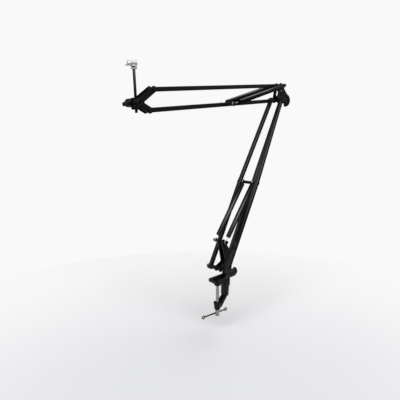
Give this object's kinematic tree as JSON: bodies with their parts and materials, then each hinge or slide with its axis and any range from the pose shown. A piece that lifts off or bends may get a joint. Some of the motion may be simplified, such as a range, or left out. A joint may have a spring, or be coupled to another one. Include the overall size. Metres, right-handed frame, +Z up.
{
  "type": "microphone boom arm",
  "caption": "Desk-clamp boom arm with sprung parallel bars, a windowed elbow bracket, wing knobs and a rod with a fork that holds a microphone.",
  "frame": {"origin": "on the face of the jaw pad that rests on the table top, straight below the base hinge", "axes": "+Z up, +Y along the hinges away from the base and elbow knobs, the upper arm points to -X"},
  "size_m": [0.428, 0.066, 0.4566],
  "materials": {
    "black_paint": "satin black powder coat",
    "black_casting": "satin black painted casting",
    "black_plastic": "satin black moulded plastic",
    "black_sleeve": "satin black extruded sleeve",
    "black_nylon": "black nylon",
    "black_rubber": "matt black rubber",
    "black_steel": "black oxide steel",
    "nickel": "bright nickel plate",
    "zinc": "bright zinc plate",
    "chrome": "polished chrome plate",
    "spring_steel": "bright spring steel"
  },
  "bodies": {
    "clamp": {"clamp_frame": "black_casting", "jaw_pad": "black_rubber"},
    "screw_pad": {"swivel_pad": "black_casting"},
    "screw": {"clamp_screw": "nickel"},
    "screw_bar": {"tommy_bar": "nickel"},
    "base": {"base_bracket": "black_paint", "swivel_post": "black_steel", "base_pivot_bolt": "black_steel", "base_spacers": "black_steel", "base_bolt_washers": "black_steel", "base_rear_bolt": "black_steel", "base_rear_nut": "black_steel", "base_rear_washers": "black_nylon", "spring_anchor_pins": "black_steel"},
    "base_wing_knob": {"base_knob": "black_plastic"},
    "outer_bars": {"outer_bar_far": "black_paint", "outer_bar_near": "black_paint", "outer_bar_plugs": "black_plastic", "spreader_pin": "black_steel"},
    "middle_bar": {"centre_bar": "black_paint", "centre_bar_plugs": "black_plastic"},
    "lower_sleeves": {"lower_sleeve_far": "black_sleeve", "lower_sleeve_near": "black_sleeve", "lower_springs": "spring_steel"},
    "lower_hooks": {"lower_spring_hooks": "black_steel"},
    "elbow": {"elbow_cheek_far": "black_paint", "elbow_cheek_near": "black_paint", "elbow_pivot_bolt": "black_steel", "elbow_spacers": "black_steel", "elbow_bolt_washers": "black_steel", "elbow_rear_bolt": "black_steel", "elbow_rear_nut": "black_steel", "elbow_top_bolt": "black_steel", "elbow_washers": "black_nylon"},
    "elbow_wing_knob": {"elbow_knob": "black_plastic"},
    "bottom_bar": {"upper_arm_bottom_bar": "black_paint", "bottom_bar_plugs": "black_plastic", "upper_spring_pin": "black_steel"},
    "top_bar": {"upper_arm_top_bar": "black_paint", "top_bar_plugs": "black_plastic"},
    "upper_sleeves": {"upper_sleeve_far": "black_sleeve", "upper_sleeve_near": "black_sleeve", "upper_springs": "spring_steel"},
    "upper_hooks": {"upper_spring_hooks": "black_steel"},
    "head": {"head_cheek_far": "black_paint", "head_cheek_near": "black_paint", "head_bolts": "black_steel", "head_nuts": "black_steel", "head_washers": "black_nylon"},
    "rod_clamp": {"rod_clamp_bolt": "black_steel", "rod_clamp_block": "black_casting", "rod_clamp_washer": "black_steel"},
    "head_wing_knob": {"head_knob": "black_plastic"},
    "rod": {"mic_rod": "chrome"},
    "fork": {"mic_fork": "zinc", "rod_nut": "black_steel", "fork_bolt": "zinc"},
    "fork_wing_nut": {"wing_nut": "zinc"}
  },
  "joints": [
    {"name": "screw_travel", "type": "slide", "parent": "clamp", "child": "screw_pad", "axis": [0, 0, 1], "range_m": [-0.031, 0.0005]},
    {"name": "screw_turn", "type": "hinge", "parent": "screw_pad", "child": "screw", "pos_m": [0.00113, 0.00379, 0], "axis": [0, 0, 1], "continuous": true},
    {"name": "bar_slide", "type": "slide", "parent": "screw", "child": "screw_bar", "axis": [0.9848, -0.1736, 0], "range_m": [-0.0133, 0.0265]},
    {"name": "arm_pan", "type": "hinge", "parent": "clamp", "child": "base", "pos_m": [0.0226, 0, 0], "axis": [0, 0, 1], "continuous": true},
    {"name": "base_knob_turn", "type": "hinge", "parent": "base", "child": "base_wing_knob", "pos_m": [0, 0, 0.029], "axis": [0, 1, 0], "continuous": true},
    {"name": "lower_arm_swing", "type": "hinge", "parent": "base", "child": "outer_bars", "pos_m": [0, 0, 0.029], "axis": [0, 1, 0], "range_deg": [-30, 12], "deforming": ["lower_spring_hooks"]},
    {"name": "middle_bar_swing", "type": "hinge", "parent": "base", "child": "middle_bar", "pos_m": [0.028, 0, 0.0422], "axis": [0, 1, 0], "range_deg": [-30.5, 12.5]},
    {"name": "elbow_keep", "type": "hinge", "parent": "outer_bars", "child": "elbow", "pos_m": [0.1869, 0, 0.34252], "axis": [0, 1, 0], "range_deg": [-12.5, 30.5]},
    {"name": "lower_sleeve_swing", "type": "hinge", "parent": "outer_bars", "child": "lower_sleeves", "pos_m": [0.09166, 0, 0.18275], "axis": [0, 1, 0], "range_deg": [-11.3, 4.82]},
    {"name": "lower_hook_swing", "type": "hinge", "parent": "base", "child": "lower_hooks", "pos_m": [0.005, 0, 0.0817], "axis": [0, 1, 0], "range_deg": [-41.3, 16.82]},
    {"name": "elbow_knob_turn", "type": "hinge", "parent": "elbow", "child": "elbow_wing_knob", "pos_m": [0.1869, 0, 0.34252], "axis": [0, 1, 0], "continuous": true},
    {"name": "upper_arm_swing", "type": "hinge", "parent": "elbow", "child": "bottom_bar", "pos_m": [0.1869, 0, 0.34252], "axis": [0, 1, 0], "range_deg": [-30, 22], "deforming": ["upper_spring_hooks"]},
    {"name": "top_bar_swing", "type": "hinge", "parent": "elbow", "child": "top_bar", "pos_m": [0.1954, 0, 0.37262], "axis": [0, 1, 0], "range_deg": [-30.5, 22.5]},
    {"name": "head_keep", "type": "hinge", "parent": "bottom_bar", "child": "head", "pos_m": [-0.17243, 0, 0.32054], "axis": [0, 1, 0], "range_deg": [-22.5, 30.5]},
    {"name": "upper_sleeve_swing", "type": "hinge", "parent": "elbow", "child": "upper_sleeves", "pos_m": [0.1954, 0, 0.37262], "axis": [0, 1, 0], "range_deg": [-27.88, 20.57]},
    {"name": "upper_hook_swing", "type": "hinge", "parent": "bottom_bar", "child": "upper_hooks", "pos_m": [0.02021, 0, 0.33232], "axis": [0, 1, 0], "range_deg": [-2.43, 3.13]},
    {"name": "rod_tilt", "type": "hinge", "parent": "head", "child": "rod_clamp", "pos_m": [-0.19473, 0, 0.33084], "axis": [0, 1, 0], "range_deg": [-30, 30]},
    {"name": "head_knob_turn", "type": "hinge", "parent": "rod_clamp", "child": "head_wing_knob", "pos_m": [-0.19473, 0, 0.33084], "axis": [0, 1, 0], "continuous": true},
    {"name": "rod_slide", "type": "slide", "parent": "rod_clamp", "child": "rod", "axis": [-0.0419, 0, 0.9991], "range_m": [-0.025, 0.004]},
    {"name": "fork_turn", "type": "hinge", "parent": "rod", "child": "fork", "pos_m": [-0.19473, 0, 0.33084], "axis": [-0.0419, 0, 0.9991], "continuous": true},
    {"name": "wing_nut_turn", "type": "hinge", "parent": "fork", "child": "fork_wing_nut", "pos_m": [-0.19699, 0, 0.3848], "axis": [-0.6151, 0.788, -0.0258], "continuous": true}
  ],
  "couplings": [
    {"joint": "middle_bar_swing", "follows": "lower_arm_swing", "ratio": 1},
    {"joint": "elbow_keep", "follows": "lower_arm_swing", "ratio": -1},
    {"joint": "lower_sleeve_swing", "follows": "lower_arm_swing", "ratio": 0.36},
    {"joint": "lower_hook_swing", "follows": "lower_arm_swing", "ratio": 1.36},
    {"joint": "top_bar_swing", "follows": "upper_arm_swing", "ratio": 1},
    {"joint": "head_keep", "follows": "upper_arm_swing", "ratio": -1},
    {"joint": "upper_sleeve_swing", "follows": "upper_arm_swing", "ratio": 0.9125},
    {"joint": "upper_hook_swing", "follows": "upper_arm_swing", "ratio": -0.0875}
  ]
}
